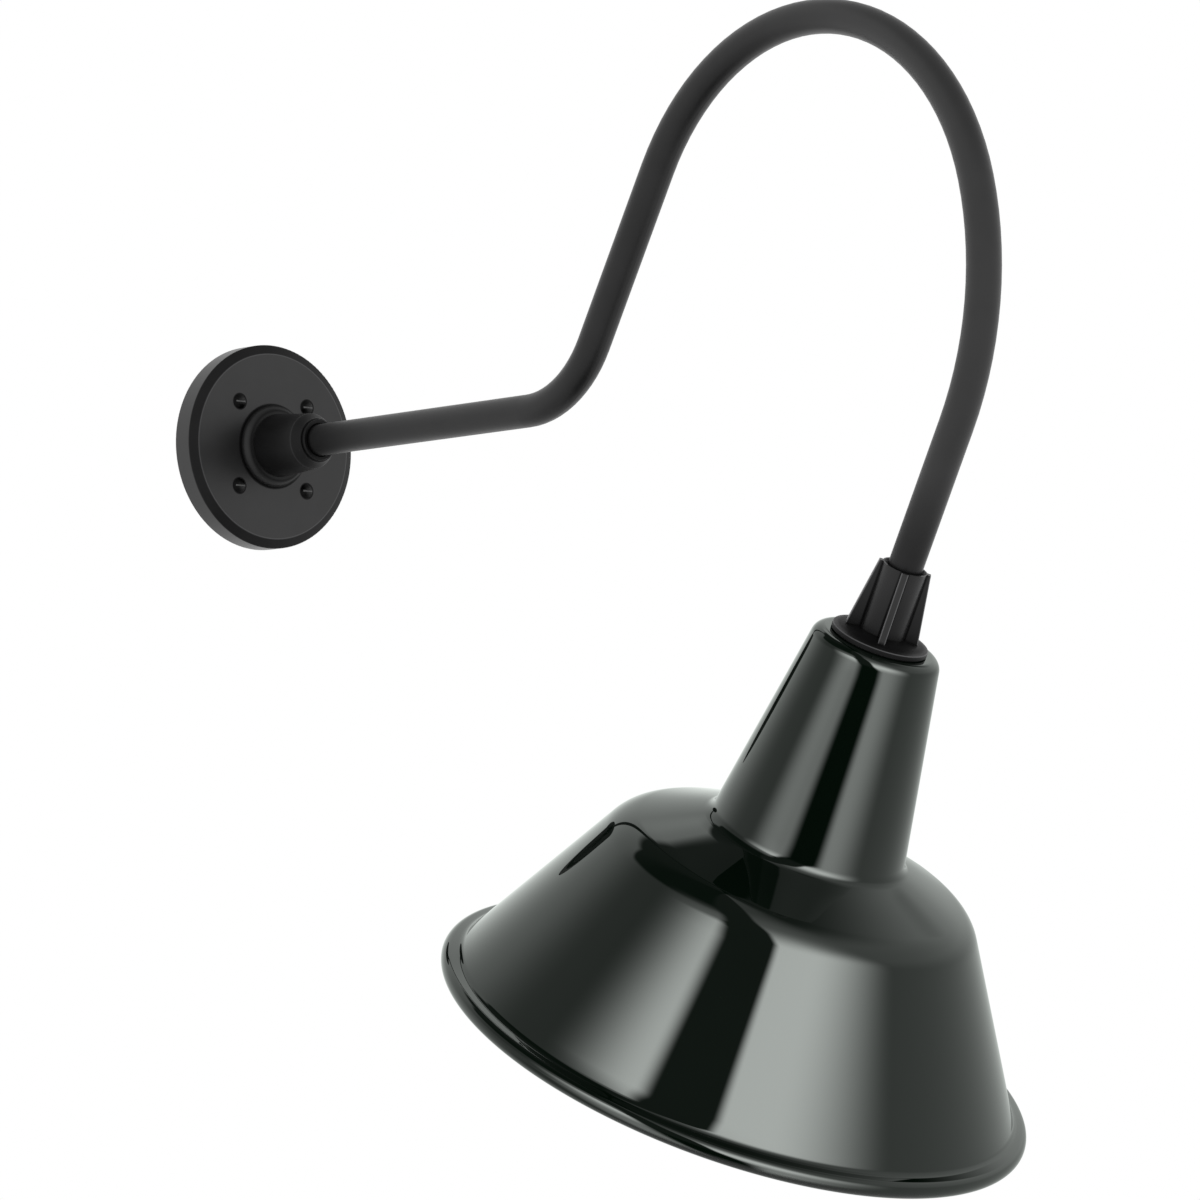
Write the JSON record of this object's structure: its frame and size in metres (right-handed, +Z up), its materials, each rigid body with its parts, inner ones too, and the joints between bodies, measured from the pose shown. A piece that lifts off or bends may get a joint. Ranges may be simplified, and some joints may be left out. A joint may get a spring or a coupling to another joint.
{
  "type": "barn light",
  "caption": "Wall-mounted gooseneck barn light: cast canopy with a long hub, bent tube arm, finned fitter and an angled spun bell shade with a rolled rim.",
  "frame": {"origin": "centre of the canopy's back on the wall, in the middle of its screw circle", "axes": "+Z up, -Y out of the wall, +X to the right seen from in front; the arm and the shade's axis lie in the plane X = 0"},
  "size_m": [0.413, 0.7955, 0.7989],
  "materials": {
    "canopy_black": "satin black powder coat on cast aluminium",
    "arm_black": "satin black powder coat on steel tube",
    "fitter_black": "satin black powder coat on a casting",
    "shade_enamel": "high-gloss dark green-black enamel outside, white enamel inside",
    "foam_rubber": "closed-cell foam",
    "gasket_rubber": "moulded rubber",
    "screw_black": "black finished steel screws",
    "set_screw_steel": "black oxide",
    "ground_green": "green finished steel",
    "green_insulation": "green lead insulation",
    "black_insulation": "black lead insulation",
    "white_insulation": "white lead insulation",
    "connector_plastic": "grey moulded plastic",
    "zinc_steel": "zinc plated",
    "socket_ceramic": "white glazed ceramic",
    "shell_aluminium": "drawn shell",
    "contact_brass": "plain",
    "terminal_brass": "plain",
    "terminal_nickel": "nickel plated"
  },
  "bodies": {
    "root": {"canopy": "canopy_black", "canopy_gasket": "foam_rubber", "canopy_screws": "screw_black", "canopy_set_screw": "set_screw_steel", "ground_screw": "ground_green", "ground_lead": "green_insulation", "wire_connectors": "connector_plastic", "arm": "arm_black", "line_lead": "black_insulation", "neutral_lead": "white_insulation", "fitter": "fitter_black", "fitter_set_screw": "set_screw_steel", "shade_gasket": "gasket_rubber", "shade": "shade_enamel", "shade_ring_nut": "zinc_steel", "socket_body": "socket_ceramic", "screw_shell": "shell_aluminium", "centre_contact": "contact_brass", "contact_rivets": "contact_brass", "line_terminal": "contact_brass", "neutral_terminal": "contact_brass", "line_terminal_screw": "terminal_brass", "neutral_terminal_screw": "terminal_nickel", "socket_screws": "zinc_steel"}
  },
  "joints": []
}
